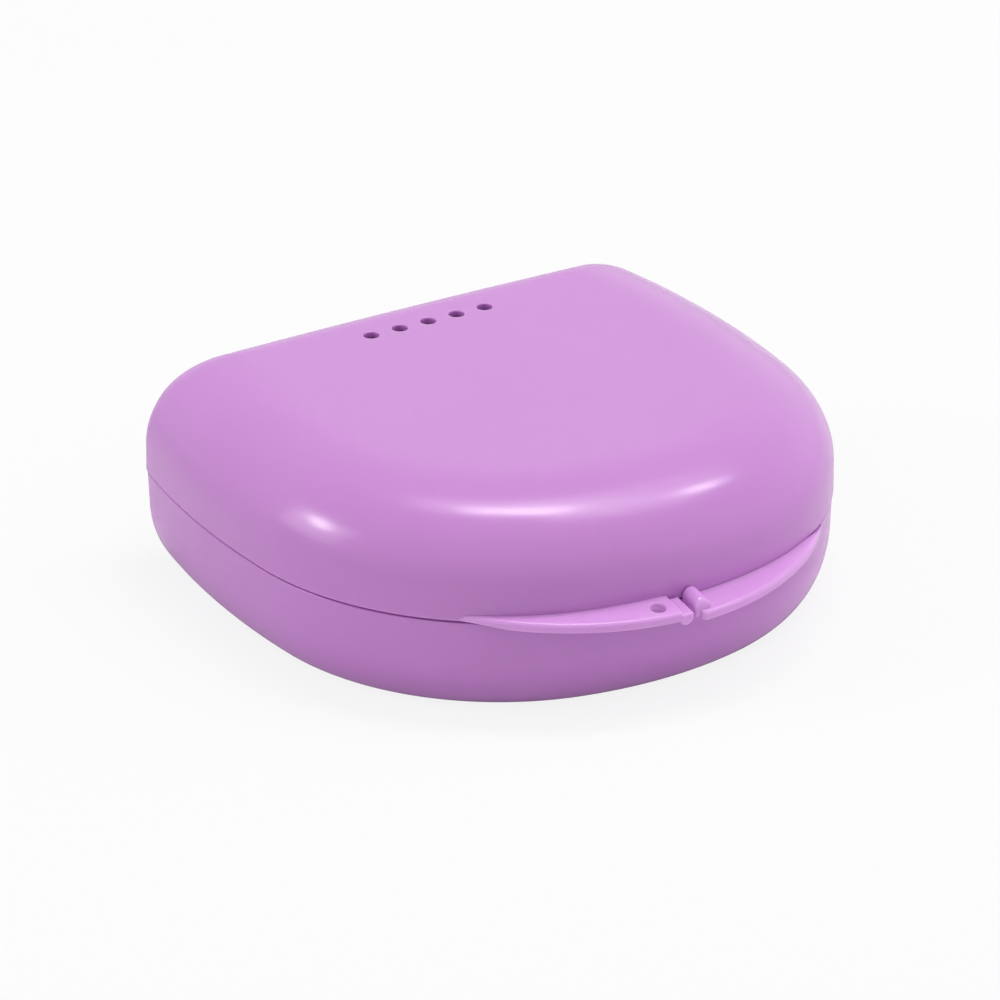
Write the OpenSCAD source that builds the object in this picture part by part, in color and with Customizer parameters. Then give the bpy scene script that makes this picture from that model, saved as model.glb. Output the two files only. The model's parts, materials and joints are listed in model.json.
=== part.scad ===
// Retainer case: a shallow moulded box with a vented lid, a back hinge and a front thumb latch.
// The case stands on Z = 0. Its hinged back runs along X, and the latch faces -Y.
// X = 0 is the middle plane, and Y = 0 is the widest place of the outline.

/* [Outline] */
// Width of the case at its widest place
case_w = 80; // [74:0.5:90]
// From the widest place forward to the front wall
front_reach = 44.5; // [40:0.5:50]
// From the widest place back to the middle of the back wall
back_reach = 24.4; // [20:0.1:28]
// Radius of the flattened front
front_r = 51; // [46:1:80]
// How far the radius of the front shoulders falls short of half the width
shoulder_inset = 4; // [2:0.1:6]
// Radius of the bowed sides
side_r = 113; // [100:1:160]
// Radius of the gently bowed back
back_r = 880; // [600:10:2000]
// Radius of the back corners at the parting plane, seen from above
corner_r = 4.2; // [4:0.1:7]
// Share of the back's inset that the corner radius loses
corner_close = 0.5; // [0.3:0.05:0.55]

/* [Shells] */
// Height of the base, from its rest face to the parting plane
base_h = 13.1; // [11.5:0.1:18]
// Height of the lid, from the parting plane to its top
lid_h = 14.2; // [12.5:0.1:18]
// Wall of both shells
wall = 1.8; // [1.4:0.1:2.4]
// How far the lid stands proud of the base at the parting plane
rim_step = 0.15; // [0:0.05:0.4]
// Draft of the lid's wall, in degrees
lid_draft = 0.8; // [0:0.1:4]
// Draft of the base's wall, in degrees
base_draft = 2.2; // [0:0.1:4]

/* [Rounded edges] */
// Width of the round between the lid's top and its front and sides
lid_round_w = 14; // [10:0.1:17]
// Height of that round
lid_round_h = 10.4; // [8:0.1:12]
// Width of the round between the lid's top and its back
back_round_w = 5.9; // [3:0.1:6.5]
// Height of that round
back_round_h = 5.4; // [4:0.1:9]
// Width of the round between the base's wall and its rest face
base_round_w = 5.2; // [3:0.1:6.5]
// Height of that round
base_round_h = 9; // [4:0.1:11]

/* [Rim] */
// Gap between the two rims when the case is shut
rim_gap = 0.3; // [0.2:0.05:0.6]
// Thickness of the lid's lip outside the base's tongue
lip_t = 0.8; // [0.6:0.05:1]
// Height of the tongue above the parting plane
tongue_h = 1.5; // [0.8:0.1:2.5]
// Clearance between the tongue and the lip
tongue_gap = 0.25; // [0.2:0.05:0.4]
// Clearance over the tongue
tongue_top_gap = 0.4; // [0.3:0.05:0.8]

/* [Vents] */
// Diameter of a vent hole
vent_d = 2.1; // [1.5:0.1:3]
// Number of vent holes
vent_count = 5; // [3:1:7]
// From one vent hole to the next
vent_pitch = 4.2; // [3.4:0.1:6]
// From the back wall to the row of vent holes
vent_back = 9.4; // [7.5:0.1:14]
// Chamfer round a hole
hole_chamfer = 0.2; // [0.1:0.05:0.4]

/* [Latch] */
// How far the latch flanges reach out from the front wall
flange_reach = 4.2; // [3.6:0.05:6]
// Radius of the flanges' outer edge
flange_r = 33.7; // [31:0.1:40]
// Downward slope of the flanges away from the wall, in degrees
flange_slope = 9; // [0:0.5:12]
// Thickness of a flange
flange_t = 1.2; // [1:0.1:1.8]
// Top of the lid's flange above the parting plane, at the wall
lid_flange_top = 1.05; // [0.8:0.05:1.3]
// Top of the base's flange above the parting plane, at the wall
base_flange_top = 0.3; // [0:0.05:0.4]
// Inner end of the lid's flange, left of the middle plane
lid_flange_end = 2.2; // [2:0.1:3.2]
// Inner end of the base's flange, right of the middle plane
base_flange_end = 0.6; // [0.2:0.1:1.2]
// Corner radius of the base flange's inner end
flange_corner_r = 0.7; // [0.3:0.1:1.5]
// Clearance between a flange and the other shell's wall
flange_gap = 0.2; // [0.2:0.05:0.5]
// Diameter of the strap hole
strap_d = 2.1; // [1.6:0.1:2.6]
// From the middle plane to the strap hole
strap_x = 4.5; // [4.2:0.05:9]
// From the front wall to the strap hole
strap_out = 1.8; // [1.7:0.1:2.3]
// Width of a snap bead
bead_w = 2.1; // [1.6:0.1:2.3]
// Height of the lid's snap bead
lid_bead_h = 1.5; // [1.3:0.1:2.2]
// Height of the base's snap bead
base_bead_h = 2.1; // [1.6:0.1:2.6]
// Step from a flange's face to the flat of its bead
bead_step = 0.3; // [0.1:0.05:0.5]
// From the middle plane to the middle of the lid's bead
lid_bead_x = 1.75; // [1.6:0.05:2.4]
// From the middle plane to the middle of the base's bead
base_bead_x = 1.1; // [1:0.05:1.5]
// Gap between a bead and the front wall
bead_wall_gap = 0.5; // [0.4:0.05:1]
// Set-back of the lid bead's front from the flange's edge
lid_bead_setback = 0.2; // [0.2:0.05:1]
// Set-back of the base bead's front from the flange's edge
base_bead_setback = 0.7; // [0.3:0.05:1.5]

/* [Hinge] */
// From the middle plane to the middle of a hinge
hinge_x = 16; // [13:0.5:20]
// Radius of the hinge barrels
barrel_r = 2.2; // [1.9:0.1:3]
// Gap between a barrel and the back wall
barrel_gap = 0.4; // [0.3:0.05:1]
// Width of the lid's knuckle
knuckle_w = 8; // [5:0.5:12]
// Width of one of the base's ears
ear_w = 4; // [2.5:0.5:6]
// Gap between a knuckle and an ear
ear_gap = 0.3; // [0.2:0.05:0.5]
// Diameter of a hinge pin
pin_d = 1.8; // [1.4:0.1:2.2]
// Running clearance round a pin in the lid's knuckle
pin_run = 0.06; // [0.02:0.01:0.1]
// Seating clearance round a pin in the base's ears
pin_seat = 0.02; // [0.01:0.01:0.04]
// Chamfer at the ends of a pin
pin_chamfer = 0.2; // [0.1:0.05:0.4]
// Height that a hinge web gains towards the wall
web_rise = 2; // [0.5:0.1:3.5]
// Gap between a hinge web and the parting plane
web_gap = 0.25; // [0.15:0.05:0.5]

/* [Hidden] */
$fn = 96;

// Steps along each arc of half the outline, and up each rounded edge
front_steps = 3;
shoulder_steps = 18;
side_steps = 5;
corner_steps = 6;
back_steps = 3;
outer_steps = 12;
inner_steps = 9;
// Smallest corner radius that a rounded edge leaves
least_corner_r = 0.6;
// Depth to which a latch flange is drawn into the wall that cuts it back
fuse = 0.4;
// How far a latch flange's root stays short of the flange's face
root_short = 0.05;
// Depth to which a hinge web is drawn into the lid's lip, and into the base's full wall
lid_web_root = 0.55;
base_web_root = 1.2;
// Length by which a cut runs past the surface it cuts
past = 1;

plastic = "#D29DDB";
steel = "#B9BCC0";

// Outline arcs of the right half: each is tangent to the next
half_w = case_w / 2;
shoulder_r = half_w - shoulder_inset;
front_c = [0, front_r - front_reach];
side_c = [half_w - side_r, 0];
back_c = [0, back_reach - back_r];
shoulder_c = meet(side_c, side_r - shoulder_r, front_c, front_r - shoulder_r);
front_end = heading(front_c, shoulder_c);
side_start = heading(side_c, shoulder_c);

// Heights
parting = base_h;
top_z = base_h + lid_h;
rebate_h = tongue_h + tongue_top_gap;

// Latch places
front_y = -front_reach;
flange_y = front_y - flange_reach;
flange_c = [0, flange_y + flange_r];
flange_fall = tan(flange_slope);
strap_c = [-strap_x, front_y - strap_out];
strap_drop = flange_fall * (norm(strap_c - front_c) - front_r);

// Hinge places
hinge_y = back_reach + barrel_gap + barrel_r;
hinge_z = parting;
pin_len = knuckle_w + 2 * ear_gap + 2 * ear_w;

function heading(from, to) = atan2(to.y - from.y, to.x - from.x);

// The place r1 away from c1 and r2 away from c2, on the right of the way from c1 to c2
function meet(c1, r1, c2, r2) =
    let (
        way = c2 - c1,
        dist = norm(way),
        along = (r1 ^ 2 - r2 ^ 2 + dist ^ 2) / (2 * dist),
        aside = sqrt(r1 ^ 2 - along ^ 2)
    )
    c1 + (along * way + aside * [way.y, -way.x]) / dist;

function arc(c, r, a0, a1, steps) =
    [for (i = [0:steps - 1]) c + r * [cos(a0 + (a1 - a0) * i / steps), sin(a0 + (a1 - a0) * i / steps)]];

// The outline drawn in by inset at the front and sides, and by back_inset at the back
function outline(inset, back_inset) =
    let (
        r = max(corner_r - corner_close * back_inset, least_corner_r),
        corner_c = meet(back_c, back_r - back_inset - r, side_c, side_r - inset - r),
        side_end = heading(side_c, corner_c),
        corner_end = heading(back_c, corner_c),
        half = concat(
            arc(front_c, front_r - inset, -90, front_end, front_steps),
            arc(shoulder_c, shoulder_r - inset, front_end, side_start, shoulder_steps),
            arc(side_c, side_r - inset, side_start, side_end, side_steps),
            arc(corner_c, r, side_end, corner_end, corner_steps),
            arc(back_c, back_r - back_inset, corner_end, 90, back_steps),
            [[0, back_reach - back_inset]]
        ),
        last = len(half) - 1
    )
    concat(half, [for (i = [last - 1:-1:1]) [-half[i].x, half[i].y]]);

// Inset of a drafted wall with a rounded edge, at a distance from the parting plane
function edge_inset(rise, height, round_w, round_h, draft) =
    let (up = min(max(rise - height + round_h, 0) / round_h, 1))
    round_w * (1 - sqrt(1 - up ^ 2)) + tan(draft) * max(min(rise, height - round_h), 0);

// Distances from the parting plane, closing up towards the far face
function levels(from, to, steps) = [for (i = [0:steps]) from + (to - from) * sin(90 * i / steps)];

function lid_outer(rise) = [
    edge_inset(rise, lid_h, lid_round_w, lid_round_h, lid_draft),
    edge_inset(rise, lid_h, back_round_w, back_round_h, lid_draft),
    parting + rise
];

function lid_inner(rise) = [
    wall + edge_inset(rise, lid_h - wall, lid_round_w - wall, lid_round_h - wall, lid_draft),
    wall + edge_inset(rise, lid_h - wall, back_round_w - wall, back_round_h - wall, lid_draft),
    parting + rise
];

function base_outer(drop) =
    let (inset = rim_step + edge_inset(drop, base_h, base_round_w, base_round_h, base_draft))
    [inset, inset, parting - drop];

function base_inner(drop) =
    let (
        inset = rim_step + wall
            + edge_inset(drop, base_h - wall, base_round_w - wall, base_round_h - wall, base_draft)
    )
    [inset, inset, parting - drop];

function reversed(list) = [for (i = [len(list) - 1:-1:0]) list[i]];

// A closed solid through rings of [inset, back inset, height], capped at both ends
module loft(rings, flip) {
    count = len(outline(0, 0));
    points = [for (ring = rings) for (p = outline(ring[0], ring[1])) [p.x, p.y, ring[2]]];
    sides = [
        for (k = [0:len(rings) - 2]) for (i = [0:count - 1])
            let (a = k * count + i, b = k * count + (i + 1) % count)
            each [[a, b, b + count], [a, b + count, a + count]]
    ];
    first_cap = [for (i = [0:count - 1]) count - 1 - i];
    last_cap = [for (i = [0:count - 1]) (len(rings) - 1) * count + i];
    faces = concat(sides, [first_cap, last_cap]);
    polyhedron(points, flip ? faces : [for (f = faces) reversed(f)], convexity = 6);
}

// The part of the latch's crescent outside the case, with its outline drawn in by inset
module crescent(inset) {
    difference() {
        translate(flange_c) circle(flange_r);
        polygon(outline(inset, inset));
    }
}

// A sheet of thickness t that slopes down away from the front wall, its top at Z = 0 at the wall
module sloping_sheet(t) {
    near = front_r - past;
    far = front_r + flange_reach + past;
    near_z = flange_fall * past;
    far_z = -flange_fall * (flange_reach + past);
    translate(front_c) rotate([0, 0, -150]) rotate_extrude(angle = 120)
        polygon([[near, near_z], [near, near_z - t], [far, far_z - t], [far, far_z]]);
}

// The part of that sheet in the crescent, with its top at a height and its end given by the child
module flange(top, t, inset) {
    intersection() {
        translate([0, 0, top]) sloping_sheet(t);
        linear_extrude(top_z) intersection() {
            crescent(inset);
            children();
        }
    }
}

// Everything left of the lid flange's end
module lid_flange_reach() {
    translate([-case_w, flange_y - past]) square([case_w - lid_flange_end, front_reach + flange_reach]);
}

// Everything right of the base flange's end, with its front corner rounded
// The corner's circle reaches a little past the flange's outer edge, so that the two cross
module base_flange_reach() {
    corner_x = base_flange_end + flange_corner_r;
    corner_y = flange_c.y - sqrt(flange_r ^ 2 - corner_x ^ 2) + 0.95 * flange_corner_r;
    translate([corner_x, flange_y - past]) square([case_w, front_reach + flange_reach]);
    translate([base_flange_end, corner_y]) square([case_w, front_reach]);
    translate([corner_x, corner_y]) circle(flange_corner_r);
}

// Half-round snap bead along -Y, its round side down and its flat top at Z = 0
module bead(length, height) {
    rotate([90, 0, 0]) linear_extrude(length) {
        translate([-bead_w / 2, bead_w / 2 - height]) square([bead_w, height - bead_w / 2]);
        translate([0, bead_w / 2 - height]) circle(bead_w / 2);
    }
}

// A hole through a flat plate from z0 to z1, chamfered at its top
module chamfered_hole(d, z0, z1) {
    translate([0, 0, z0 - past]) cylinder(h = z1 - z0 + 2 * past, d = d);
    translate([0, 0, z1 - hole_chamfer])
        cylinder(h = 2 * hole_chamfer, d1 = d, d2 = d + 4 * hole_chamfer);
}

module vents() {
    for (i = [0:vent_count - 1])
        translate([(i - (vent_count - 1) / 2) * vent_pitch, back_reach - vent_back, 0])
            chamfered_hole(vent_d, top_z - wall, top_z);
}

// Barrel with its web, drawn into the back wall by root, along X; up is 1 for the lid, -1 for the base
module knuckle(width, up, root) {
    wall_y = -barrel_r - barrel_gap;
    root_y = wall_y - root;
    translate([-width / 2, hinge_y, hinge_z]) rotate([90, 0, 90]) linear_extrude(width) {
        circle(barrel_r);
        polygon([
            [0, up * web_gap], [0, up * barrel_r],
            [wall_y, up * (barrel_r + web_rise)], [root_y, up * (barrel_r + web_rise)],
            [root_y, up * web_gap]
        ]);
    }
}

module pin_bore(width, clearance) {
    translate([-width / 2 - past / 2, hinge_y, hinge_z]) rotate([0, 90, 0])
        cylinder(h = width + past, r = pin_d / 2 + clearance);
}

// The lid's outside next to the parting plane, filled in
module lid_rim() {
    rises = levels(rim_gap / 2, lid_h, outer_steps);
    loft([lid_outer(rises[0]), lid_outer(rises[1])], false);
}

// The base's outside next to the parting plane, filled in
module base_rim() {
    drops = levels(rim_gap / 2, base_h, outer_steps);
    loft([base_outer(drops[0]), base_outer(drops[1])], true);
}

module lid_shell() {
    inner = [for (rise = levels(rebate_h, lid_h - wall, inner_steps)) lid_inner(rise)];
    outer = [for (rise = levels(rim_gap / 2, lid_h, outer_steps)) lid_outer(rise)];
    rebate = [[lip_t, lip_t, parting + rebate_h], [lip_t, lip_t, parting + rim_gap / 2]];
    color(plastic) difference() {
        union() {
            loft(concat(reversed(inner), rebate, outer), false);
            for (side = [-1, 1]) translate([side * hinge_x, 0, 0]) knuckle(knuckle_w, 1, lid_web_root);
        }
        vents();
        for (side = [-1, 1]) translate([side * hinge_x, 0, 0]) pin_bore(knuckle_w, pin_run);
    }
}

// Left latch flange with its strap hole and hanging bead, on the lid's wall
module lid_latch() {
    flange_z = parting + lid_flange_top;
    color(plastic) difference() {
        union() {
            // The root meets the lid's wall, and below the rim the flange clears the base
            difference() {
                flange(flange_z - root_short, lid_flange_top - rim_gap - root_short, fuse)
                    lid_flange_reach();
                lid_rim();
            }
            flange(flange_z, flange_t, -flange_gap) lid_flange_reach();
            translate([-lid_bead_x, front_y, flange_z - bead_step]) rotate([flange_slope, 0, 0])
                translate([0, -bead_wall_gap, 0])
                    bead(flange_reach - bead_wall_gap - lid_bead_setback, lid_bead_h);
        }
        translate([strap_c.x, strap_c.y, flange_z - strap_drop]) rotate([flange_slope, 0, 0])
            chamfered_hole(strap_d, -flange_t, 0);
    }
}

module base_shell() {
    tongue_inset = lip_t + tongue_gap;
    inner = [for (drop = levels(0, base_h - wall, inner_steps)) base_inner(drop)];
    outer = [for (drop = levels(rim_gap / 2, base_h, outer_steps)) base_outer(drop)];
    tongue = [
        [rim_step + wall, rim_step + wall, parting + tongue_h],
        [tongue_inset, tongue_inset, parting + tongue_h],
        [tongue_inset, tongue_inset, parting - rim_gap / 2]
    ];
    ear_x = knuckle_w / 2 + ear_gap + ear_w / 2;
    color(plastic) difference() {
        union() {
            loft(concat(reversed(inner), tongue, outer), true);
            for (side = [-1, 1]) for (ear = [-1, 1])
                translate([side * hinge_x + ear * ear_x, 0, 0]) knuckle(ear_w, -1, base_web_root);
        }
        for (side = [-1, 1]) translate([side * hinge_x, 0, 0]) pin_bore(pin_len, pin_seat);
    }
}

// Right latch flange with its upstanding bead, on the base's wall
module base_latch() {
    flange_z = parting + base_flange_top;
    root_z = parting - rim_gap;
    flat_z = flange_z - flange_t + bead_step;
    color(plastic) {
        // The root meets the base's wall, and above the rim the flange clears the lid
        difference() {
            flange(root_z, root_z - flange_z + flange_t - root_short, fuse) base_flange_reach();
            base_rim();
        }
        flange(flange_z, flange_t, -flange_gap) base_flange_reach();
        translate([base_bead_x, front_y, flat_z]) rotate([flange_slope, 0, 0])
            translate([0, -bead_wall_gap, 0]) rotate([0, 180, 0])
                bead(flange_reach - bead_wall_gap - base_bead_setback, base_bead_h);
    }
}

// Hinge pin along X through one hinge's knuckle and ears, with chamfered ends
module hinge_pin(side) {
    r = pin_d / 2;
    color(steel) translate([side * hinge_x - pin_len / 2, hinge_y, hinge_z]) rotate([0, 90, 0])
        rotate_extrude() polygon([
            [0, 0], [r - pin_chamfer, 0], [r, pin_chamfer],
            [r, pin_len - pin_chamfer], [r - pin_chamfer, pin_len], [0, pin_len]
        ]);
}

module hinge_pin_left() {
    hinge_pin(-1);
}

module hinge_pin_right() {
    hinge_pin(1);
}

lid_shell();
lid_latch();
base_shell();
base_latch();
hinge_pin_left();
hinge_pin_right();
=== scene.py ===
# %% [markdown]
# # A retainer case in moulded plastic
# A retainer case is a shallow box for a dental plate. Two thin shells of polypropylene, a lid and a base,
# swing on a hinge at the back and snap shut with two thumb flanges at the front. The CAD model already
# gives every size and the hinge. This lesson dresses it: finer, softly rounded mouldings in place of the
# faceted solids, a plastic that looks moulded, and the light of a small studio.

# %% [markdown]
# ## The frame
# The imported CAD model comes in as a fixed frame, in metres. New pieces could be placed by eye, but then
# they would miss the hinge by a little. Reading the frame first keeps everything in one place.

# %% Load the frame
import json
import math

import bmesh
import bpy
import numpy as np
from mathutils import Matrix, Quaternion, Vector


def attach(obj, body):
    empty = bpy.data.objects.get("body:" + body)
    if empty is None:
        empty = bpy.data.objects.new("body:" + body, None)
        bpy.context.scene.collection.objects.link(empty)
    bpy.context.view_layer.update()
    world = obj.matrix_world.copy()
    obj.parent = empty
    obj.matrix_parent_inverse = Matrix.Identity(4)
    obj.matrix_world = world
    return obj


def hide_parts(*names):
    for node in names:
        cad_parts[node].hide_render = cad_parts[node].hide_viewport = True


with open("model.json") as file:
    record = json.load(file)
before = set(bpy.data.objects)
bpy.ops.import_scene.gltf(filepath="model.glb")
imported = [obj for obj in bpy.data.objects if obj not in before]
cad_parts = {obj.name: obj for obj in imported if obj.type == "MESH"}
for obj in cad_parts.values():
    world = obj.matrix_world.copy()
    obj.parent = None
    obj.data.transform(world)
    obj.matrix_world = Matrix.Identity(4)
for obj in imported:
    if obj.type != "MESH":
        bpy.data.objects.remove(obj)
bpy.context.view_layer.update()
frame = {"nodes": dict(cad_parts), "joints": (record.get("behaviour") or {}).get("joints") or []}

# %% [markdown]
# ## Sizes
# A moulding is drawn in millimetres, so the sizes below are millimetres and one factor turns them to
# metres. They repeat the CAD model's driving sizes. The parting plane and the hinge axis come from the
# frame's joint. The CAD outline is a polygon, and its smooth copy would bulge out between the corners. So
# the width and the hinge barrels are drawn in by a skin of a hundredth of a millimetre, which keeps them
# inside the CAD box.

# %% Driving sizes
MM = 0.001
skin = 0.01

hinge_y = frame["joints"][0]["pos_m"][1] / MM
parting = frame["joints"][0]["pos_m"][2] / MM

half_width = 40 - skin
front_reach = 44.5
back_reach = 24.4
front_r = 51
shoulder_r = 36
side_r = 113
back_r = 880
# The back corners tighten by a share of the inset, down to a least radius
corner_r = 4.2
corner_close = 0.5
least_corner_r = 0.6

base_h = parting
lid_h = 14.2
wall = 1.8
top_z = parting + lid_h
print("hinge axis at y", round(hinge_y, 2), "and z", round(parting, 2), "mm, top at", round(top_z, 2), "mm")

# %% [markdown]
# ## The outline
# Seen from above the case is a soft D: a flattened front, round shoulders, gently bowed sides and an
# almost straight back with small corners. A spline would do, but five tangent arcs on each half are what
# a toolmaker would cut, and they can be drawn in by any inset without wrinkling.

# %% Tangent arcs
def heading(start, end):
    return math.atan2(end[1] - start[1], end[0] - start[0])


def meet(first, first_r, second, second_r):
    """The place at two distances from two centres, on the right of the way between them."""
    way = second - first
    dist = np.linalg.norm(way)
    along = (first_r ** 2 - second_r ** 2 + dist ** 2) / (2 * dist)
    aside = math.sqrt(first_r ** 2 - along ** 2)
    return first + (along * way + aside * np.array([way[1], -way[0]])) / dist


def arc(centre, radius, start, end, steps):
    angles = start + (end - start) * np.arange(steps) / steps
    return centre + radius * np.column_stack([np.cos(angles), np.sin(angles)])


front_c = np.array([0, front_r - front_reach])
side_c = np.array([half_width - side_r, 0])
back_c = np.array([0, back_reach - back_r])
shoulder_c = meet(side_c, side_r - shoulder_r, front_c, front_r - shoulder_r)
front_end = heading(front_c, shoulder_c)
side_start = heading(side_c, shoulder_c)
print("front arc ends", round(math.degrees(front_end), 1), "degrees round, shoulders end",
      round(math.degrees(side_start), 1), "degrees round")

# %% [markdown]
# ## The outline at an inset
# A moulded wall leans and rounds over, so every height of the case has its own outline. Scaling the first
# one would thin the wall at the corners. Here each arc keeps its centre and loses the inset from its
# radius, and the back may have an inset of its own.

# %% The outline at an inset
front_steps = 8
shoulder_steps = 64
side_steps = 16
corner_steps = 20
back_steps = 12


def outline(inset, back_inset):
    """Places round the case, drawn in by one inset at the front and sides and another at the back."""
    r = max(corner_r - corner_close * back_inset, least_corner_r)
    corner_c = meet(back_c, back_r - back_inset - r, side_c, side_r - inset - r)
    side_end = heading(side_c, corner_c)
    corner_end = heading(back_c, corner_c)
    half = np.concatenate([
        arc(front_c, front_r - inset, -math.pi / 2, front_end, front_steps),
        arc(shoulder_c, shoulder_r - inset, front_end, side_start, shoulder_steps),
        arc(side_c, side_r - inset, side_start, side_end, side_steps),
        arc(corner_c, r, side_end, corner_end, corner_steps),
        arc(back_c, back_r - back_inset, corner_end, math.pi / 2, back_steps),
        [[0, back_reach - back_inset]],
    ])
    mirrored = half[-2:0:-1] * [-1, 1]
    return np.concatenate([half, mirrored])


print("outline of", len(outline(0, 0)), "places")

# %% [markdown]
# ## Helpers for closed forms
# Each piece is a stack of closed loops with a flat cap at either end, the way a loft works in CAD. A box
# with a bevel modifier could give some of these forms, but a loft puts each rounded edge exactly where it
# belongs.

# %% Rounded corners
corner_points = 6


def rounded_path(corners):
    """Points along corners of (across, up, radius), each corner with a radius rounded by an arc."""
    places = [np.array(corner[:2], float) for corner in corners]
    path = []
    for i, (across, up, radius) in enumerate(corners):
        if radius == 0:
            path.append(places[i])
            continue
        before = places[i - 1] - places[i]
        after = places[(i + 1) % len(places)] - places[i]
        before /= np.linalg.norm(before)
        after /= np.linalg.norm(after)
        half_turn = math.acos(np.clip(before @ after, -1, 1)) / 2
        middle = (before + after) / np.linalg.norm(before + after)
        centre = places[i] + middle * radius / math.sin(half_turn)
        first = heading(centre, places[i] + before * radius / math.tan(half_turn))
        last = heading(centre, places[i] + after * radius / math.tan(half_turn))
        sweep = (last - first + math.pi) % (2 * math.pi) - math.pi
        for step in range(corner_points + 1):
            angle = first + sweep * step / corner_points
            path.append(centre + radius * np.array([math.cos(angle), math.sin(angle)]))
    return np.array(path)


square = rounded_path([(0, 0, 1), (4, 0, 1), (4, 4, 1), (0, 4, 1)])
print("a square with rounded corners has", len(square), "places")

# %% Lofts
def loft(name, rings):
    """A closed mesh object through loops of places in millimetres, capped at both ends."""
    count = len(rings[0])
    sheet = bmesh.new()
    rows = [[sheet.verts.new(Vector(place) * MM) for place in ring] for ring in rings]
    for low, high in zip(rows, rows[1:]):
        for i in range(count):
            j = (i + 1) % count
            sheet.faces.new([low[i], low[j], high[j], high[i]])
    sheet.faces.new(rows[0])
    sheet.faces.new(rows[-1])
    bmesh.ops.recalc_face_normals(sheet, faces=sheet.faces)
    mesh = bpy.data.meshes.new(name)
    sheet.to_mesh(mesh)
    sheet.free()
    piece = bpy.data.objects.new(name, mesh)
    bpy.context.collection.objects.link(piece)
    return piece


def shell(name, profile):
    """A closed shell through rings of (inset, back inset, height)."""
    rings = []
    for inset, back_inset, height in profile:
        loop = outline(inset, back_inset)
        rings.append(np.column_stack([loop, np.full(len(loop), height)]))
    return loft(name, rings)


print("a shell has", len(outline(0, 0)), "faces between two rings")

# %% [markdown]
# ## Walls with draft
# A moulded wall leans by a degree or so, or the part would stick in the mould, and it turns into the top
# or the foot in a round. A bevel gives a round of one radius only. A quarter of an ellipse has its own
# width and height, as the rounds of this case do, so a formula gives the wall's inset at each height.

# %% Insets and heights of a wall
def edge_inset(rise, height, round_w, round_h, draft):
    """Inset of a drafted wall with a rounded edge, at a distance from the parting plane."""
    up = min(max(rise - height + round_h, 0) / round_h, 1)
    straight = max(min(rise, height - round_h), 0)
    return round_w * (1 - math.sqrt(1 - up ** 2)) + math.tan(math.radians(draft)) * straight


def levels(start, end, steps):
    """Distances that close up towards the end, where the round turns flat."""
    return [start + (end - start) * math.sin(math.pi / 2 * i / steps) for i in range(steps + 1)]


print("4 mm up a wall with 1 degree of draft the inset is", round(edge_inset(4, 10, 6, 6, 1), 3), "mm")

# %% [markdown]
# ## The lid
# The lid is a low dome. Its front and sides roll over in one wide soft round that catches the long
# highlight, while the back turns over more tightly. Inside, a rebate at the rim takes the base's tongue.
# Revolving a profile can't give two different rounds, so the outline is lofted up through insets that
# grow along a quarter of an ellipse. The rim's own small edge rounds are part of the profile.

# %% Lid shell
lid_draft = 0.8
lid_round = (14, 10.4)
back_round = (5.9, 5.4)
rim_gap = 0.3
lip_t = 0.8
tongue_h = 1.5
tongue_top_gap = 0.4
rebate_h = tongue_h + tongue_top_gap
rebate_round = 0.2
lid_rim_round = 0.15
rim_run = 0.7
outer_steps = 48
inner_steps = 36


def lid_outer(rise):
    return (edge_inset(rise, lid_h, *lid_round, lid_draft),
            edge_inset(rise, lid_h, *back_round, lid_draft), parting + rise)


def lid_inner(rise):
    sizes = [size - wall for size in lid_round]
    back_sizes = [size - wall for size in back_round]
    return (wall + edge_inset(rise, lid_h - wall, *sizes, lid_draft),
            wall + edge_inset(rise, lid_h - wall, *back_sizes, lid_draft), parting + rise)


inner_start = rebate_h + rim_run
outer_start = rim_gap / 2 + rim_run
lid_rim = rounded_path([
    (lid_inner(inner_start)[0], inner_start, 0),
    (lid_inner(rebate_h)[0], rebate_h, rebate_round),
    (lip_t, rebate_h, lid_rim_round),
    (lip_t, rim_gap / 2, lid_rim_round),
    (0, rim_gap / 2, lid_rim_round),
    (lid_outer(outer_start)[0], outer_start, 0),
])
lid_profile = [lid_inner(rise) for rise in reversed(levels(inner_start, lid_h - wall, inner_steps)[1:])]
lid_profile += [(inset, inset, parting + rise) for inset, rise in lid_rim]
lid_profile += [lid_outer(rise) for rise in levels(outer_start, lid_h, outer_steps)[1:]]
lid = shell("lid_moulding", lid_profile)
print("lid of", len(lid_profile), "rings and", len(lid.data.polygons), "faces")

# %% [markdown]
# ## The base
# The base is a tray with a taller, slacker round down to its flat foot. A thin tongue stands up inside
# its rim and keeps the lid from sliding. A tongue could be a ring of its own, fused on later, but in the
# profile it costs a few more corners only. So the base is lofted as the lid is, from the inside over the
# rim to the foot.

# %% Base shell
base_draft = 2.2
base_round = (5.2, 9)
rim_step = 0.15
tongue_gap = 0.25
tongue_inner_round = 0.25
tongue_outer_round = 0.3
tongue_foot_round = 0.12
base_rim_round = 0.2


def base_outer(drop):
    inset = rim_step + edge_inset(drop, base_h, *base_round, base_draft)
    return inset, inset, parting - drop


def base_inner(drop):
    sizes = [size - wall for size in base_round]
    inset = rim_step + wall + edge_inset(drop, base_h - wall, *sizes, base_draft)
    return inset, inset, parting - drop


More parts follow.
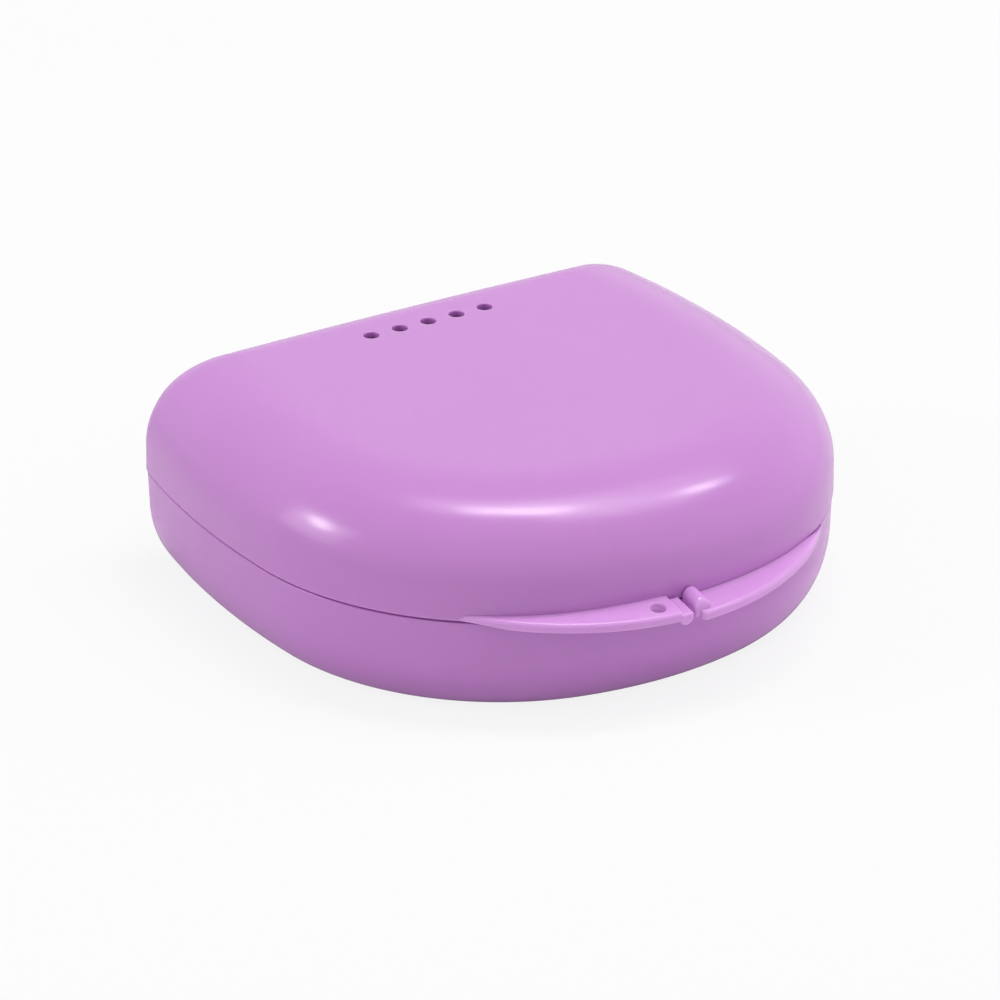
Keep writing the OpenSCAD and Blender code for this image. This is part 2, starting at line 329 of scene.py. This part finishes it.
base_rim = rounded_path([
    (base_inner(rim_run)[0], -rim_run, 0),
    (rim_step + wall, 0, 0),
    (rim_step + wall, tongue_h, tongue_inner_round),
    (lip_t + tongue_gap, tongue_h, tongue_outer_round),
    (lip_t + tongue_gap, -rim_gap / 2, tongue_foot_round),
    (rim_step, -rim_gap / 2, base_rim_round),
    (base_outer(outer_start)[0], -outer_start, 0),
])
base_profile = [base_inner(drop) for drop in reversed(levels(rim_run, base_h - wall, inner_steps)[1:])]
base_profile += [(inset, inset, parting + rise) for inset, rise in base_rim]
base_profile += [base_outer(drop) for drop in levels(outer_start, base_h, outer_steps)[1:]]
base = shell("base_moulding", base_profile)
print("base of", len(base_profile), "rings and", len(base.data.polygons), "faces")

# %% [markdown]
# ## The latch flanges
# Two thin thumb flanges make a crescent round the front: the left one belongs to the lid, the right one
# to the base and sits a little lower. Each swells out of the wall from nothing and slopes down towards
# the front. A crescent could be extruded and bevelled, but its tip would end in a step. So each flange is
# lofted through sections that stand on rays from inside the case, and its rounded edges shrink into the
# wall at the tip.

# %% Rays from inside the case
flange_reach = 4.17
flange_r = 33.7
flange_c = np.array([0, flange_r - front_reach - flange_reach])


def ray_to_circle(start, way, centre, radius):
    """How far a circle is from a place inside it, along a way of length one."""
    to_centre = centre - start
    along = way @ to_centre
    return along + math.sqrt(radius ** 2 - to_centre @ to_centre + along ** 2)


def ray_to_wall(start, way):
    """How far the front half of the outline is from a place inside it."""
    reach = ray_to_circle(start, way, front_c, front_r)
    if heading(front_c, start + reach * way) > front_end:
        reach = ray_to_circle(start, way, shoulder_c, shoulder_r)
    return reach


def pulled_in(radius, along):
    """How far a rounded end is drawn in, at a distance from the end."""
    left = max(radius - along, 0)
    return radius - math.sqrt(radius ** 2 - left ** 2)


front = np.array([0, -1])
reach = ray_to_circle(flange_c, front, flange_c, flange_r) - ray_to_wall(flange_c, front)
print("flanges reach", round(reach, 2), "mm out of the wall")

# %% [markdown]
# ## A flange's section
# Cut across, a flange is a thin bar with soft edges, rooted in its own wall and clear of the other
# shell's. One section could be swept along the crescent, but it has to thin out at the tip and to round
# off at the inner end. So a function draws the section for each depth. Its list of corners always has the
# same length, as a loft needs as many places in every ring.

# %% Section of a flange
flange_sink = 0.8
root_round = 0.05
root_overlap = 0.03
# From its tip on, a flange takes this depth to grow to its full thickness
tip_run = 1.4
back_corner = 0.45
back_edge_round = 0.03
# The least widths of an edge and of anything else, which keep places apart
least_edge = 0.05
sliver = 0.02
# The largest share of the room at hand that a round may take
hollow_share = 0.3
edge_share = 0.45
back_edge_share = 0.4


def flange_section(depth, at_wall, gap, near, far, near_round, far_round):
    """Corners of (out of the wall, height, radius) round a flange that stands out by a depth.
    Its near face lies by the parting plane, and its far face runs into its own wall in a small round."""
    grown = min(max((depth - gap) / tip_run, 0), 1)
    grown = grown * grown * (3 - 2 * grown)
    near = rim_gap - sliver + (near - rim_gap + sliver) * grown
    clear = min(gap, depth - least_edge)
    hollow = min(root_round, max(hollow_share * depth, sliver))
    root = -flange_sink
    foot = min(-root_overlap, depth - far_round - hollow - sliver)
    lip = 2 * hollow
    if at_wall < back_corner:
        root = pulled_in(back_corner, at_wall)
        foot = root + sliver
        clear = max(gap, foot)
        hollow = sliver / 5
        lip = -sliver
    edge = edge_share * (depth - clear)
    return rounded_path([
        (root, rim_gap, 0),
        (clear, rim_gap, 0),
        (clear, near, min(back_edge_round, edge, back_edge_share * (rim_gap - near))),
        (depth, near, min(near_round, edge)),
        (depth, far, far_round),
        (foot, far, hollow),
        (foot, far + lip, 0),
        (root, far + lip, 0),
    ])


section = flange_section(depth=4, at_wall=9, gap=0.2, near=-0.1, far=1.06, near_round=0.15, far_round=0.45)
print("a section has", len(section), "places")

# %% [markdown]
# ## Both flanges
# Seen from above the two flanges follow the same curves, mirrored, though one belongs to the lid and the
# other to the base. Each could be drawn by itself, but every curve would then be written twice. So one
# function lofts a flange from its blunt end by the middle to its tip, and its side and its way up make it
# the left or the right one.

# %% Loft a flange
latch_fall = math.tan(math.radians(9))
tip_depth = -0.1
end_round = 0.2
flange_steps = 90
widest_turn = math.radians(75)


def flange(name, side, up, end_x, gap, near, far, near_round, far_round, corner_round):
    """A latch flange from its end by the middle to its tip. Near and far are heights from the parting plane
    at the wall, and up is 1 for the lid's flange and -1 for the base's."""
    start = np.array([end_x, flange_c[1]])
    ends = [radius * (1 - math.cos(math.pi / 16 * i)) for radius in (corner_round, end_round, back_corner)
            for i in range(9)]
    turns = np.concatenate([np.linspace(0, widest_turn, flange_steps), np.array(ends) / flange_r])
    rings = []
    for turn in np.unique(np.round(turns, 6)):
        way = np.array([math.sin(turn), -math.cos(turn)])
        to_wall = ray_to_wall(start, way)
        to_edge = ray_to_circle(start, way, flange_c, flange_r)
        along = to_edge * math.sin(turn)
        depth = to_edge - to_wall - pulled_in(corner_round, along)
        if depth < tip_depth:
            break
        squeeze = pulled_in(end_round, along)
        section = flange_section(depth, to_wall * math.sin(turn), gap, near + squeeze, far - squeeze,
                                 near_round, far_round)
        places = [start + (to_wall + out) * way for out, height in section]
        rings.append([(side * place[0], place[1], parting + up * height - latch_fall * max(out, 0))
                      for place, (out, height) in zip(places, section)])
    return loft(name, rings)


lid_flange = flange("lid_flange", side=-1, up=1, end_x=2.17, gap=0.2, near=-0.1, far=1.06,
                    near_round=0.15, far_round=0.45, corner_round=0.3)
base_flange = flange("base_flange", side=1, up=-1, end_x=0.62, gap=0.01, near=-0.33, far=0.8,
                     near_round=0.45, far_round=0.15, corner_round=0.7)
print("flanges of", len(lid_flange.data.polygons), "and", len(base_flange.data.polygons), "faces")

# %% [markdown]
# ## The snap beads
# At the flanges' inner ends two small half-round beads pass each other with a click. The lid's hangs
# down, the base's stands up. Each is a U-shaped bar that slopes down with its flange. A bevelled bar
# would do, but lofting the U through its own insets keeps the nose round and the ends soft.

# %% Beads
bead_edge = 0.22
bead_end = 0.25
bead_steps = 24


def bead(name, x, width, flat, height, up, back, length, nose_round):
    """A U-shaped bar with its flat side at a height from the parting plane and its nose on the other side.
    X is its middle. Its front end is rounded off towards the nose."""
    r = width / 2
    stops = [bead_end * (1 - math.cos(math.pi / 12 * i)) for i in range(7)]
    turns = [math.pi / 2 * i / bead_steps for i in range(bead_steps + 1)]
    stops += [length - nose_round * (1 - math.sin(turn)) for turn in turns]
    rings = []
    for along in stops:
        side_in = max(pulled_in(bead_end, along), pulled_in(bead_end, length - along))
        nose_in = max(pulled_in(bead_end, along), pulled_in(nose_round, length - along))
        half = r - side_in
        sides = rounded_path([(-half, height - r, 0), (-half, side_in, bead_edge),
                              (half, side_in, bead_edge), (half, height - r, 0)])
        angles = math.pi * np.arange(1, bead_steps) / bead_steps
        nose = np.column_stack([half * np.cos(angles), height - r + (r - nose_in) * np.sin(angles)])
        y = -front_reach - back - along
        drop = latch_fall * (back + along)
        rings.append([(x + across, y, parting + up * (flat + away) - drop)
                      for across, away in np.concatenate([sides, nose])])
    return loft(name, rings)


lid_bead = bead("lid_bead", x=-1.72, width=2.05, flat=-0.72, height=1.52, up=-1, back=0.3, length=3.8,
                nose_round=0.3)
base_bead = bead("base_bead", x=1.07, width=2.24, flat=-0.55, height=2.15, up=1, back=0.2, length=3.3,
                 nose_round=0.8)
print("beads of", len(lid_bead.data.polygons), "faces each")

# %% [markdown]
# ## The hinge knuckles
# Behind the back wall the lid's two knuckles sit between the base's four ears, on two steel pins. Each is
# a barrel that runs into the wall in a web. Cylinders and blocks would show a crease between them, so the
# profile is drawn as one line: round the barrel, then straight up to the wall where the line leaves the
# barrel at a tangent.

# %% Knuckles
barrel_r = 2.2 - skin
barrel_steps = 64
# From the hinge axis to the back wall, and how far a web's root reaches into it
wall_y = -2.6
lid_root = 0.55
base_root = 1.2
web_top = 4.2
web_gap = 0.25
hinge_x = 16
knuckle_w = 8
ear_w = 4
ear_x = 6.3
knuckle_round = 0.3


def prism(name, profile_at, length, end_round, place):
    """A bar with rounded ends through profiles at an inset; place turns (along, point) to (x, y, z)."""
    turns = [math.pi / 2 * i / corner_points for i in range(corner_points + 1)]
    stops = [(end_round * (1 - math.cos(turn)), end_round * (1 - math.sin(turn))) for turn in turns]
    stops += [(length - along, inset) for along, inset in reversed(stops)]
    rings = [[place(along, point) for point in profile_at(inset)] for along, inset in stops]
    return loft(name, rings)


def knuckle(name, x, width, up, root):
    """A barrel with its web, X in its middle. Up is 1 for the lid's and -1 for the base's."""
    def profile_at(inset):
        r = barrel_r - inset
        corner = np.array([wall_y, web_top - inset])
        lean = math.acos(r / np.linalg.norm(corner))
        tangent = math.atan2(corner[1], corner[0]) - lean
        start = -math.pi - math.asin((web_gap + inset) / r)
        barrel = arc(np.zeros(2), r, start, tangent, barrel_steps)
        last = [[r * math.cos(tangent), r * math.sin(tangent)], corner]
        root_y = wall_y - root
        return np.concatenate([[[root_y, web_gap + inset]], barrel, last, [[root_y, web_top - inset]]])

    return prism(name, profile_at, width, knuckle_round, lambda along, point:
                 (x - width / 2 + along, hinge_y + point[0], parting + up * point[1]))


lid_knuckles = [knuckle("lid_knuckle", side * hinge_x, knuckle_w, 1, lid_root) for side in (-1, 1)]
base_ears = [knuckle("base_ear", side * hinge_x + ear * ear_x, ear_w, -1, base_root)
             for side in (-1, 1) for ear in (-1, 1)]
print(len(lid_knuckles), "knuckles and", len(base_ears), "ears")

# %% [markdown]
# ## Holes
# Five vents let a wet retainer dry, and a strap hole goes through the lid's flange. A moulded hole has a
# soft rim, not a knife edge, and that rim is what catches a bright ring. Inside the lid the vents open
# out in a wide round, so that more of the dark inside shows through. A plain cylinder and a bevel could
# cut them, but a bevel after a Boolean is fragile. So each cutter is a turned plug that flares at both
# ends. The hinge's bores are plain, because nobody sees their rims.

# %% Plugs for the holes and bores
vent_count = 5
vent_r = 1
vent_round = 0.16
vent_relief = 1.05
vent_pitch = 4.2
vent_y = back_reach - 9.4
strap = (-4.5, -front_reach - 1.78)
strap_top = parting + 0.74
strap_depth = 1.16
strap_r = 0.95
strap_round = 0.2
strap_relief = 0.6
flare_turn = math.radians(78)
flare_steps = 6
hole_steps = 64
knuckle_bore_r = 0.96
ear_bore_r = 0.92
ear_span = 2 * ear_x + ear_w
bore_past = 0.5
bore_steps = 48


def plug(name, centre, radius, low, high, low_round, high_round, fall):
    """A turned plug that flares by a round as it reaches the low face and the high face. The faces may fall
    towards the front."""
    flares = []
    for face, inward, size in ((low, 1, low_round), (high, -1, high_round)):
        turns = flare_turn * np.arange(flare_steps + 1) / flare_steps
        widths = radius + size * (1 - np.cos(turns))
        heights = face + inward * size * (1 - np.sin(turns))
        flare = np.column_stack([widths, heights])
        past = [[flare[-1][0], face - inward]]
        flares.append(np.concatenate([flare, past]))
    rings = []
    for r, z in np.concatenate([flares[0][::-1], flares[1]]):
        circle = arc(np.array(centre), r, 0, 2 * math.pi, hole_steps)
        rings.append(np.column_stack([circle, z + fall * (circle[:, 1] - centre[1])]))
    return loft(name, rings)


def bore(name, x, width, radius):
    """A cylinder along the hinge axis, X in its middle, that runs past both ends of what it cuts."""
    circle = arc(np.array([hinge_y, parting]), radius, 0, 2 * math.pi, bore_steps)
    ends = (x - width / 2 - bore_past, x + width / 2 + bore_past)
    return loft(name, [np.column_stack([np.full(bore_steps, end), circle]) for end in ends])


vents = [plug("vent", ((i - vent_count // 2) * vent_pitch, vent_y), vent_r, low=top_z - wall, high=top_z,
              low_round=vent_relief, high_round=vent_round, fall=0) for i in range(vent_count)]
strap_hole = plug("strap_hole", strap, strap_r, low=strap_top - strap_depth, high=strap_top,
                  low_round=strap_relief, high_round=strap_round, fall=latch_fall)
knuckle_bores = [bore("knuckle_bore", side * hinge_x, knuckle_w, knuckle_bore_r) for side in (-1, 1)]
ear_bores = [bore("ear_bore", side * hinge_x, ear_span, ear_bore_r) for side in (-1, 1)]
print(len(vents), "vents,", 2 * vent_r, "mm across, and a strap hole,", 2 * strap_r, "mm across")

# %% [markdown]
# ## One moulding each
# The lid and the base each leave the mould as one piece. Loose forms pushed into each other would look
# joined, but their hidden faces would stay inside the walls. So Boolean modifiers fuse the added forms
# and cut the holes, and the result is kept as a plain mesh. Smooth shading bends light over an edge that
# should be crisp, so flat faces stay flat and every sharp turn is marked. Faces of the thin latch get a
# second material slot with a paler colour, which is painted glow for the light that comes through them.

# %% Fuse and cut
latch_height = 2.4
off_wall = 0.05
sharp_turn = math.radians(35)
level_normal = 0.9999999


def on_the_latch(place):
    """Whether a place in millimetres is on a flange or a bead, outside the wall."""
    from_inside = np.array([abs(place[0]), place[1]]) - flange_c
    reach = np.linalg.norm(from_inside)
    if from_inside[1] > 0 or abs(place[2] - parting) > latch_height:
        return False
    return reach > ray_to_wall(flange_c, from_inside / reach) + off_wall


def moulding(piece, added, cut):
    """Fuse pieces into a shell, cut others out of it, and keep the outcome as the shell's mesh."""
    for operation, others in (("UNION", added), ("DIFFERENCE", cut)):
        for other in others:
            modifier = piece.modifiers.new(other.name, "BOOLEAN")
            modifier.operation = operation
            modifier.solver = "MANIFOLD"
            modifier.object = other
    bpy.context.view_layer.update()
    finished = piece.evaluated_get(bpy.context.evaluated_depsgraph_get())
    mesh = bpy.data.meshes.new_from_object(finished)
    piece.modifiers.clear()
    piece.data = mesh
    for other in added + cut:
        bpy.data.meshes.remove(other.data)
    mesh.materials.clear()
    mesh.shade_smooth()
    mesh.set_sharp_from_angle(angle=sharp_turn)
    # Latch faces take slot 1, whose paler colour is painted glow for light coming through the thin plastic
    for face in mesh.polygons:
        face.use_smooth = abs(face.normal.z) < level_normal
        face.material_index = int(on_the_latch(face.center / MM))
    thin = sum(face.material_index for face in mesh.polygons)
    print(piece.name, "has", len(mesh.polygons), "faces,", thin, "of them on the latch")


moulding(lid, [lid_flange, lid_bead] + lid_knuckles, vents + [strap_hole] + knuckle_bores)
moulding(base, [base_flange, base_bead] + base_ears, ear_bores)

# %% [markdown]
# ## Nodes and colours
# A material is a tree of nodes. Nodes can be wired by hand in the shader editor, but a script repeats the
# same few lines for each one, so one small function adds a node, sets it and links it. Colours are
# written as they are picked on a screen, in sRGB, and shaders want linear light, so another function
# turns one into the other.

# %% Nodes and colours
def linear(hex_colour):
    """An sRGB hex colour as linear light, with an alpha of one."""
    parts = [int(hex_colour[i:i + 2], 16) / 255 for i in (1, 3, 5)]
    return [part / 12.92 if part <= 0.04045 else ((part + 0.055) / 1.055) ** 2.4 for part in parts] + [1]


def add_node(tree, kind, settings, links):
    """Add a node, set its properties and sockets, and link sockets from (node, output) pairs."""
    node = tree.nodes.new(kind)
    for name, value in settings.items():
        if isinstance(name, str) and hasattr(node, name):
            setattr(node, name, value)
        else:
            node.inputs[name].default_value = value
    for name, (source, output) in links.items():
        tree.links.new(source.outputs[output], node.inputs[name])
    return node


def new_material(name):
    material = bpy.data.materials.new(name)
    material.use_nodes = True
    material.node_tree.nodes.clear()
    return material, material.node_tree


print("mid grey #808080 is", round(linear("#808080")[0], 3), "in linear light")

# %% [markdown]
# ## Moulded polypropylene
# The case is polypropylene coloured through with an orchid pigment and moulded in polished steel. That
# gives a clean satin gloss, a little light that wanders under the surface, and faint waviness where the
# plastic shrank. One colour alone looks like a drawing, so the nodes add pigment that is not perfectly
# mixed, a gloss that drifts, and a shallow orange peel. The latch is so thin that light comes through.
# Real light could be sent through it, but that takes long to render clean, so its colour is painted
# paler instead: painted glow that stands in for the light coming through.

# %% Orchid polypropylene
# Polypropylene has an IOR of about 1.49, and a polished mould leaves a roughness of about 0.2. To the eye
# that is a soft bright highlight on a colour that stays full.
plastic_ior = 1.49
gloss_low = 0.18
gloss_high = 0.23
# Pigment mixes in clouds about 18 mm wide, which show as a faint drift of the colour
pigment_cloud = 18
# The mould's polish changes over about 4 mm, which makes a highlight a little uneven
gloss_drift = 4
# Shrinking plastic waves about every 0.9 mm, under a micron deep, so a highlight's edge isn't perfect
orange_peel = 0.9
orange_peel_depth = 0.0006
# Light wanders about 1.5 mm under the surface, and green, which the pigment takes away, less far
scatter = 1.5
scatter_weight = 0.5
scatter_share = (1, 0.7, 1)


def orchid_polypropylene(name, darker, paler):
    """Moulded plastic whose pigment drifts between two colours. Polished steel leaves it glossy."""
    material, tree = new_material(name)
    place = add_node(tree, "ShaderNodeTexCoord", {}, {})
    clouds = add_node(tree, "ShaderNodeTexNoise", {"Scale": 1 / (pigment_cloud * MM), "Detail": 2},
                      {"Vector": (place, "Object")})
    pigment = add_node(tree, "ShaderNodeMix", {"data_type": "RGBA", 6: linear(darker), 7: linear(paler)},
                       {"Factor": (clouds, "Fac")})
    drift = add_node(tree, "ShaderNodeTexNoise", {"Scale": 1 / (gloss_drift * MM), "Detail": 3},
                     {"Vector": (place, "Object")})
    gloss = add_node(tree, "ShaderNodeMapRange", {"To Min": gloss_low, "To Max": gloss_high},
                     {"Value": (drift, "Fac")})
    peel = add_node(tree, "ShaderNodeTexNoise", {"Scale": 1 / (orange_peel * MM), "Detail": 1},
                    {"Vector": (place, "Object")})
    relief = add_node(tree, "ShaderNodeBump", {"Strength": 1, "Distance": orange_peel_depth * MM},
                      {"Height": (peel, "Fac")})
    plastic = add_node(tree, "ShaderNodeBsdfPrincipled",
                       {"IOR": plastic_ior, "Subsurface Weight": scatter_weight,
                        "Subsurface Scale": scatter * MM, "Subsurface Radius": scatter_share},
                       {"Base Color": (pigment, 2), "Roughness": (gloss, "Result"),
                        "Normal": (relief, "Normal")})
    add_node(tree, "ShaderNodeOutputMaterial", {}, {"Surface": (plastic, "BSDF")})
    print(name, "with", len(tree.nodes), "nodes")
    return material


polypropylene = orchid_polypropylene("moulded_orchid_polypropylene", "#C484CD", "#C888D1")
# The latch's paler pigment is painted glow, standing in for light that comes through the thin plastic
latch_glow_painted_polypropylene = orchid_polypropylene("orchid_polypropylene_painted_glow", "#D69CDE", "#DAA0E2")

# %% [markdown]
# ## Drawn stainless wire
# The hinge pins are lengths of stainless wire. Drawing wire through a die leaves fine lines along it,
# which stretch a highlight round the pin. Lines could be cut into the mesh, but they are far too fine for
# that. Noise stretched along the pin gives them to the gloss and the bump alone.

# %% Pin steel
# Drawn steel is a bare metal of middling gloss, with a roughness of about 0.3: a grey streak along the pin.
# Real die lines are about 0.02 mm wide. They are drawn four times as coarse, or they wouldn't show.
polish_low = 0.22
polish_high = 0.38
draw_line = 0.08
draw_length = 6
draw_depth = 0.01

wire, tree = new_material("drawn_stainless_wire")
place = add_node(tree, "ShaderNodeTexCoord", {}, {})
stretched = add_node(tree, "ShaderNodeMapping", {"Scale": (draw_line / draw_length, 1, 1)},
                     {"Vector": (place, "Object")})
lines = add_node(tree, "ShaderNodeTexNoise", {"Scale": 1 / (draw_line * MM), "Detail": 2},
                 {"Vector": (stretched, "Vector")})
polish = add_node(tree, "ShaderNodeMapRange", {"To Min": polish_low, "To Max": polish_high},
                  {"Value": (lines, "Fac")})
relief = add_node(tree, "ShaderNodeBump", {"Strength": 0.4, "Distance": draw_depth * MM},
                  {"Height": (lines, "Fac")})
steel = add_node(tree, "ShaderNodeBsdfPrincipled", {"Metallic": 1, "Base Color": linear("#B9BCC0")},
                 {"Roughness": (polish, "Result"), "Normal": (relief, "Normal")})
add_node(tree, "ShaderNodeOutputMaterial", {}, {"Surface": (steel, "BSDF")})
print("stainless wire with", len(tree.nodes), "nodes")

# %% [markdown]
# ## Pieces on their bodies
# Each moulding rides on its CAD body, so the lid turns about the hinge, and it hides the faceted solids
# that it stands for. Parenting by hand would work too, but the frame already knows the bodies. The pins
# keep their CAD shape and only change their finish.

# %% Ride and replace
for piece, body, nodes in (
    (lid, "lid", ("lid_shell", "lid_latch")),
    (base, "base", ("base_shell", "base_latch")),
):
    piece.data.materials.append(polypropylene)
    # Slot 1 holds the latch's paler material, painted glow for light coming through it
    piece.data.materials.append(latch_glow_painted_polypropylene)
    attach(piece, body)
    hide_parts(*nodes)
    print(piece.name, "rides on", body, "and replaces", *nodes)

for side in ("left", "right"):
    for slot in frame["nodes"]["hinge_pin_" + side].material_slots:
        slot.material = wire
    print("the", side, "pin is", wire.name)

# %% [markdown]
# ## Camera
# The photograph was taken from the front left and a little above, from almost a metre away with a long
# lens. A camera could be moved until the view looks right. Here the angles and the distance were found by
# matching the case's outline, so they are set directly, and the lens and its shift follow from them.

# %% Camera
turn = math.radians(-31.5114)
tilt = math.radians(25.4954)
camera_distance = 886.487
pixels_per_mm = 7.904708
image_size = 1000
middle_at = (489.754, 464.559)

right = Vector((math.cos(turn), math.sin(turn), 0))
back = Vector((math.sin(turn) * math.cos(tilt), -math.cos(turn) * math.cos(tilt), math.sin(tilt)))
up = back.cross(right)
target = Vector((0, 0, parting * MM))

view = bpy.data.cameras.new("camera")
view.sensor_width = 36  # millimetres, as in a full-frame camera
view.lens = view.sensor_width * pixels_per_mm * camera_distance / image_size
view.shift_x = 0.5 - middle_at[0] / image_size
view.shift_y = middle_at[1] / image_size - 0.5
camera = bpy.data.objects.new("camera", view)
bpy.context.collection.objects.link(camera)
camera.matrix_world = Matrix.Translation(target + back * camera_distance * MM) @ Matrix(
    (right, up, back)).transposed().to_4x4()
bpy.context.scene.camera = camera
print("lens", round(view.lens, 1), "mm, shift", round(view.shift_x, 4), round(view.shift_y, 4))

# %% [markdown]
# ## Lamps
# Three groups of lamps stand round the case, and each highlight in the plastic is one of them. The long
# one over the front is a soft box overhead with a brighter lamp in it. The short streak at its right end
# is a narrow lamp in a soft box on the right, and the compact one on the left shoulder is a lamp in a
# soft box on the left. A low fill on the right lights the wall there without a highlight. Lamps could be
# moved about by eye, but their places follow from the angles at which the plastic mirrors them, so they
# are set as angles.

# %% Lamps
lamp_distance = 0.8


def soft_box(name, azimuth, elevation, half_width, half_height, roll, radiance, mirrored=True):
    """A soft box that faces the case. Its place, half sizes and roll are angles in degrees as seen from the
    case. Azimuth 0 is in front and 90 on the right. Plastic shows it as a highlight if it is mirrored."""
    a, e = math.radians(azimuth), math.radians(elevation)
    way = Vector((math.sin(a) * math.cos(e), -math.cos(a) * math.cos(e), math.sin(e)))
    light = bpy.data.lights.new(name, "AREA")
    light.shape = "RECTANGLE"
    light.size = 2 * lamp_distance * math.tan(math.radians(half_width))
    light.size_y = 2 * lamp_distance * math.tan(math.radians(half_height))
    light.energy = radiance * math.pi * light.size * light.size_y
    holder = bpy.data.objects.new(name, light)
    bpy.context.collection.objects.link(holder)
    holder.visible_glossy = mirrored
    holder.location = target + way * lamp_distance
    holder.rotation_mode = "QUATERNION"
    holder.rotation_quaternion = way.to_track_quat("Z", "Y") @ Quaternion((0, 0, 1), math.radians(roll))
    print(name, "of", round(light.energy, 2), "W")


# Azimuth, elevation, half width, half height and roll in degrees, then the radiance, of which 1 is white
soft_box("overhead_soft_box", 110, 80, 22, 8, 28, 2.3)
soft_box("overhead_lamp", 111, 83.6, 10.5, 2.8, 33, 17)
soft_box("right_soft_box", 80, 67, 15, 15, 0, 1.4)
soft_box("right_lamp", 78.5, 52.4, 1.2, 3.8, 0, 38)
soft_box("right_fill", 72, 15, 26, 14, 0, 1.35, mirrored=False)
soft_box("left_soft_box", -112, 26, 13, 13, 0, 2.3)
soft_box("left_lamp", -112.5, 31.2, 5, 2.6, -44, 23)

# %% [markdown]
# ## White surroundings
# Product photographs are taken in a white room or tent. A world of one plain white would light the case
# flat and too strongly. So the world is white to the camera and in reflections, while what lights the
# plastic is a grey that is lighter in front of the case than behind it.

# %% White surroundings
front_level = 0.59
back_level = 0.3
level_run = 0.35

world = bpy.data.worlds.new("white_studio")
bpy.context.scene.world = world
world.use_nodes = True
tree = world.node_tree
tree.nodes.clear()
way = add_node(tree, "ShaderNodeTexCoord", {}, {})
axes = add_node(tree, "ShaderNodeSeparateXYZ", {}, {"Vector": (way, "Generated")})
room = add_node(tree, "ShaderNodeMapRange",
                {"From Min": -level_run, "From Max": level_run,
                 "To Min": front_level, "To Max": back_level},
                {"Value": (axes, "Y")})
path = add_node(tree, "ShaderNodeLightPath", {}, {})
seen = add_node(tree, "ShaderNodeMath", {"operation": "MAXIMUM"},
                {0: (path, "Is Camera Ray"), 1: (path, "Is Glossy Ray")})
seen = add_node(tree, "ShaderNodeMath", {"operation": "MAXIMUM"},
                {0: (seen, "Value"), 1: (path, "Is Transmission Ray")})
level = add_node(tree, "ShaderNodeMapRange", {"To Max": 1},
                 {"Value": (seen, "Value"), "To Min": (room, "Result")})
sky = add_node(tree, "ShaderNodeBackground", {"Color": linear("#FFFFFF")}, {"Strength": (level, "Result")})
add_node(tree, "ShaderNodeOutputWorld", {}, {"Surface": (sky, "Background")})
print("world at", front_level, "in front and", back_level, "behind")

# %% [markdown]
# ## White paper
# The case stands on matt white paper. Paper that is only lit would come out grey, and paper that only
# glows would lose the case's shadow. So the camera sees mostly glow with a share of lit paper, which
# keeps a soft shadow, and the plastic mirrors mostly lit paper.

# %% White paper
paper_half = 3
paper_lift = -0.02 * MM
# Paper fibres are about 0.03 mm wide. They are drawn twenty times as coarse, or they wouldn't show.
paper_fibre = 0.6
fibre_depth = 0.02
glow_to_camera = 0.85
glow_in_gloss = 0.1

paper_material, tree = new_material("matt_white_paper")
place = add_node(tree, "ShaderNodeTexCoord", {}, {})
fibre = add_node(tree, "ShaderNodeTexNoise", {"Scale": 1 / (paper_fibre * MM), "Detail": 3},
                 {"Vector": (place, "Object")})
relief = add_node(tree, "ShaderNodeBump", {"Strength": 0.1, "Distance": fibre_depth * MM},
                  {"Height": (fibre, "Fac")})
sheet = add_node(tree, "ShaderNodeBsdfDiffuse", {"Color": linear("#E6E6E6")},
                 {"Normal": (relief, "Normal")})
glow = add_node(tree, "ShaderNodeEmission", {"Color": linear("#FFFFFF"), "Strength": 1}, {})
path = add_node(tree, "ShaderNodeLightPath", {}, {})
mirrored = add_node(tree, "ShaderNodeMath", {"operation": "MAXIMUM"},
                    {0: (path, "Is Glossy Ray"), 1: (path, "Is Transmission Ray")})
mirrored = add_node(tree, "ShaderNodeMapRange", {"To Max": glow_in_gloss}, {"Value": (mirrored, "Value")})
share = add_node(tree, "ShaderNodeMapRange", {"To Max": glow_to_camera},
                 {"Value": (path, "Is Camera Ray"), "To Min": (mirrored, "Result")})
both = add_node(tree, "ShaderNodeMixShader", {},
                {"Fac": (share, "Result"), 1: (sheet, "BSDF"), 2: (glow, "Emission")})
add_node(tree, "ShaderNodeOutputMaterial", {}, {"Surface": (both, "Shader")})

paper_mesh = bpy.data.meshes.new("white_paper")
corners = [(-paper_half, -paper_half, paper_lift), (paper_half, -paper_half, paper_lift),
           (paper_half, paper_half, paper_lift), (-paper_half, paper_half, paper_lift)]
paper_mesh.from_pydata(corners, [], [(0, 1, 2, 3)])
paper = bpy.data.objects.new("white_paper", paper_mesh)
bpy.context.collection.objects.link(paper)
paper_mesh.materials.append(paper_material)

bpy.context.scene.view_settings.view_transform = "Standard"
print("paper", 2 * paper_half, "m wide")
